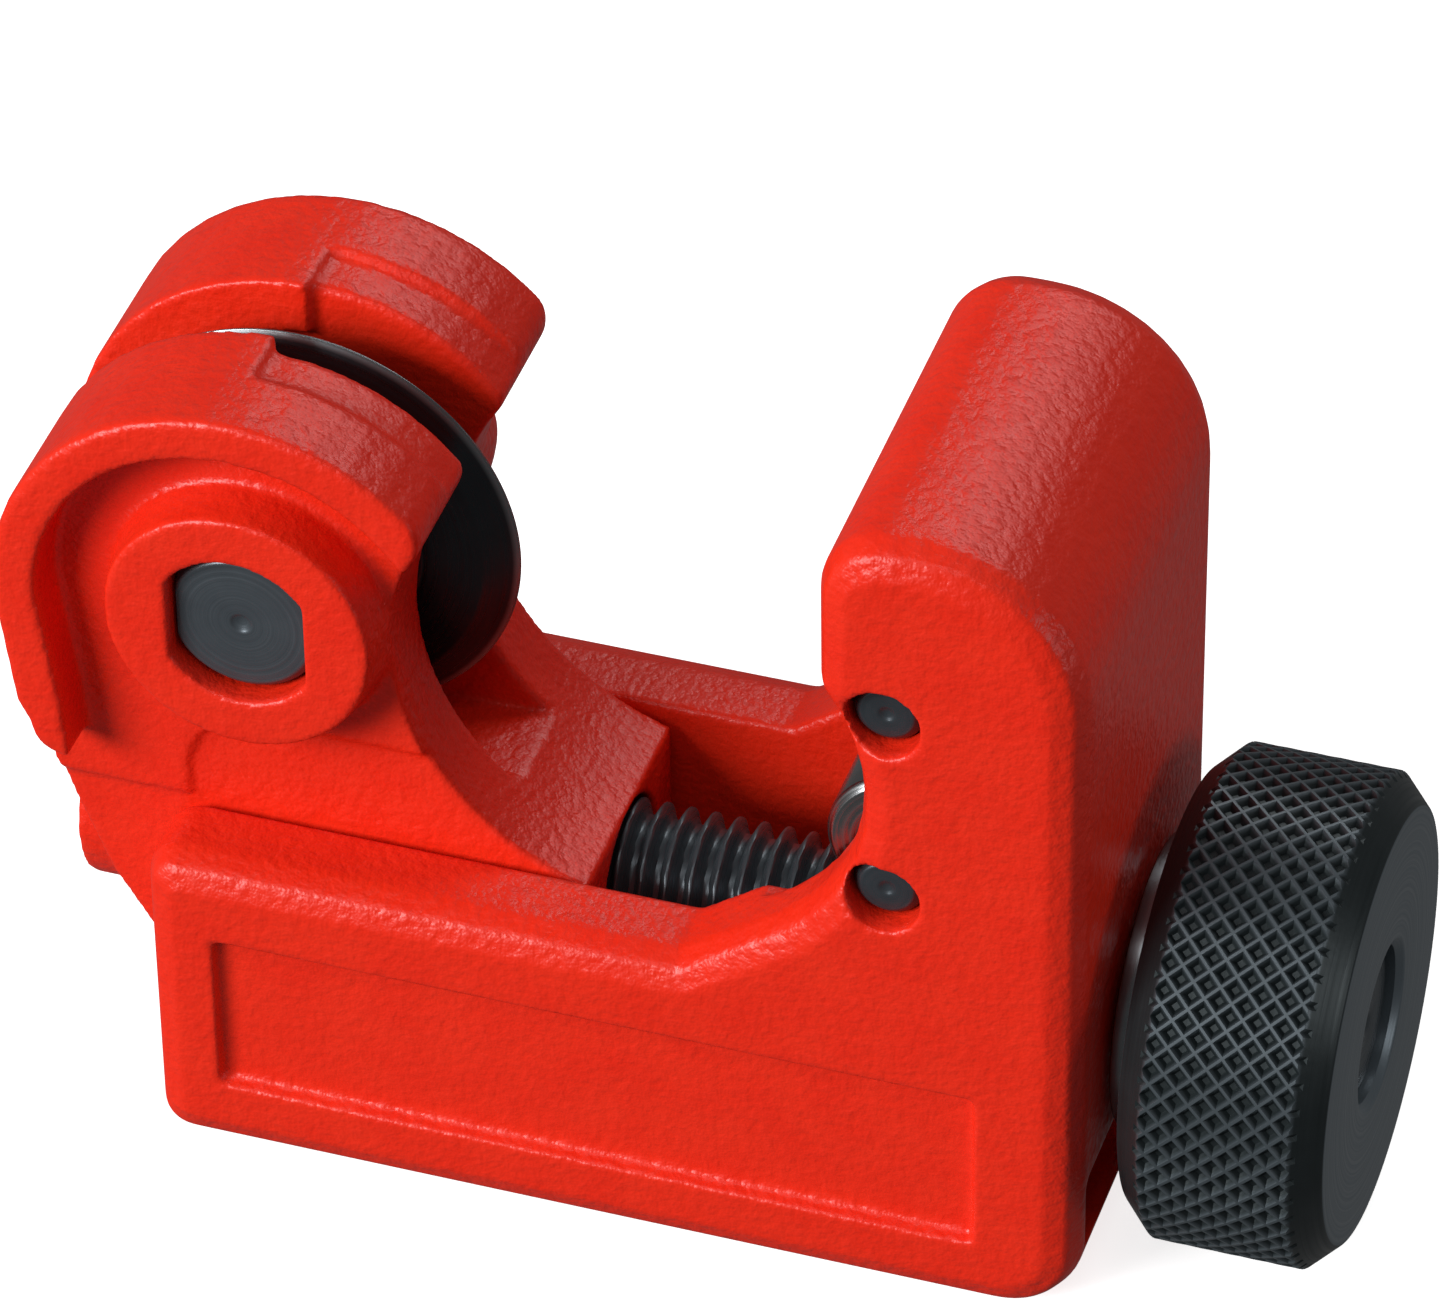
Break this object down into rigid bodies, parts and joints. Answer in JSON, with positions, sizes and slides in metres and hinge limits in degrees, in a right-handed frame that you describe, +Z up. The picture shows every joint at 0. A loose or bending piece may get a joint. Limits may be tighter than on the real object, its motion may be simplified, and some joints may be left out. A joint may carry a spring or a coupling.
{
  "type": "pipe cutter",
  "caption": "Screw-feed cutter for small copper tube: guide rollers in a cast body, a sliding carriage that holds the cutting wheel, and a knurled feed knob.",
  "frame": {"origin": "on the flat underside of the body, half way between its front and rear faces, straight below the axis of the tube that sits in the jaw", "axes": "+X along the feed screw, from the cutting wheel towards the knob; +Y along the tube, away from the panel side; +Z up, out of the jaw"},
  "size_m": [0.0535, 0.0196, 0.0364],
  "materials": {
    "red_powder_coat": "semi-gloss red powder coat over die-cast metal, with a fine orange-peel texture",
    "black_oxide_steel": "black oxide over turned and knurled steel, satin",
    "blued_tool_steel": "hardened and blackened tool steel, ground edge",
    "turned_steel": "turned bright steel, satin",
    "spring_steel": "phosphated spring steel"
  },
  "bodies": {
    "frame": {"body_casting": "red_powder_coat", "upper_roller_pin": "black_oxide_steel", "lower_roller_pin": "black_oxide_steel"},
    "feed": {"feed_screw": "black_oxide_steel", "knob": "black_oxide_steel", "thrust_washer": "turned_steel", "screw_clip": "spring_steel"},
    "carriage": {"carriage_casting": "red_powder_coat", "wheel_axle": "black_oxide_steel", "axle_clip": "spring_steel"},
    "wheel": {"cutting_wheel": "blued_tool_steel"},
    "top_roller": {"upper_roller": "turned_steel"},
    "bottom_roller": {"lower_roller": "turned_steel"}
  },
  "joints": [
    {"name": "knob_turn", "type": "hinge", "parent": "frame", "child": "feed", "pos_m": [0, 0, 0.01025], "axis": [1, 0, 0], "range_deg": [-5040, 540]},
    {"name": "carriage_slide", "type": "slide", "parent": "frame", "child": "carriage", "axis": [1, 0, 0], "range_m": [-0.0015, 0.014]},
    {"name": "wheel_spin", "type": "hinge", "parent": "carriage", "child": "wheel", "pos_m": [-0.01637, 0, 0.02495], "axis": [0, 1, 0], "continuous": true},
    {"name": "upper_roller_spin", "type": "hinge", "parent": "frame", "child": "top_roller", "pos_m": [0.00983, 0, 0.02823], "axis": [0, 1, 0], "continuous": true},
    {"name": "lower_roller_spin", "type": "hinge", "parent": "frame", "child": "bottom_roller", "pos_m": [0.00983, 0, 0.01977], "axis": [0, 1, 0], "continuous": true}
  ],
  "couplings": [
    {"joint": "knob_turn", "follows": "carriage_slide", "rad_per_m": -6283.2}
  ]
}
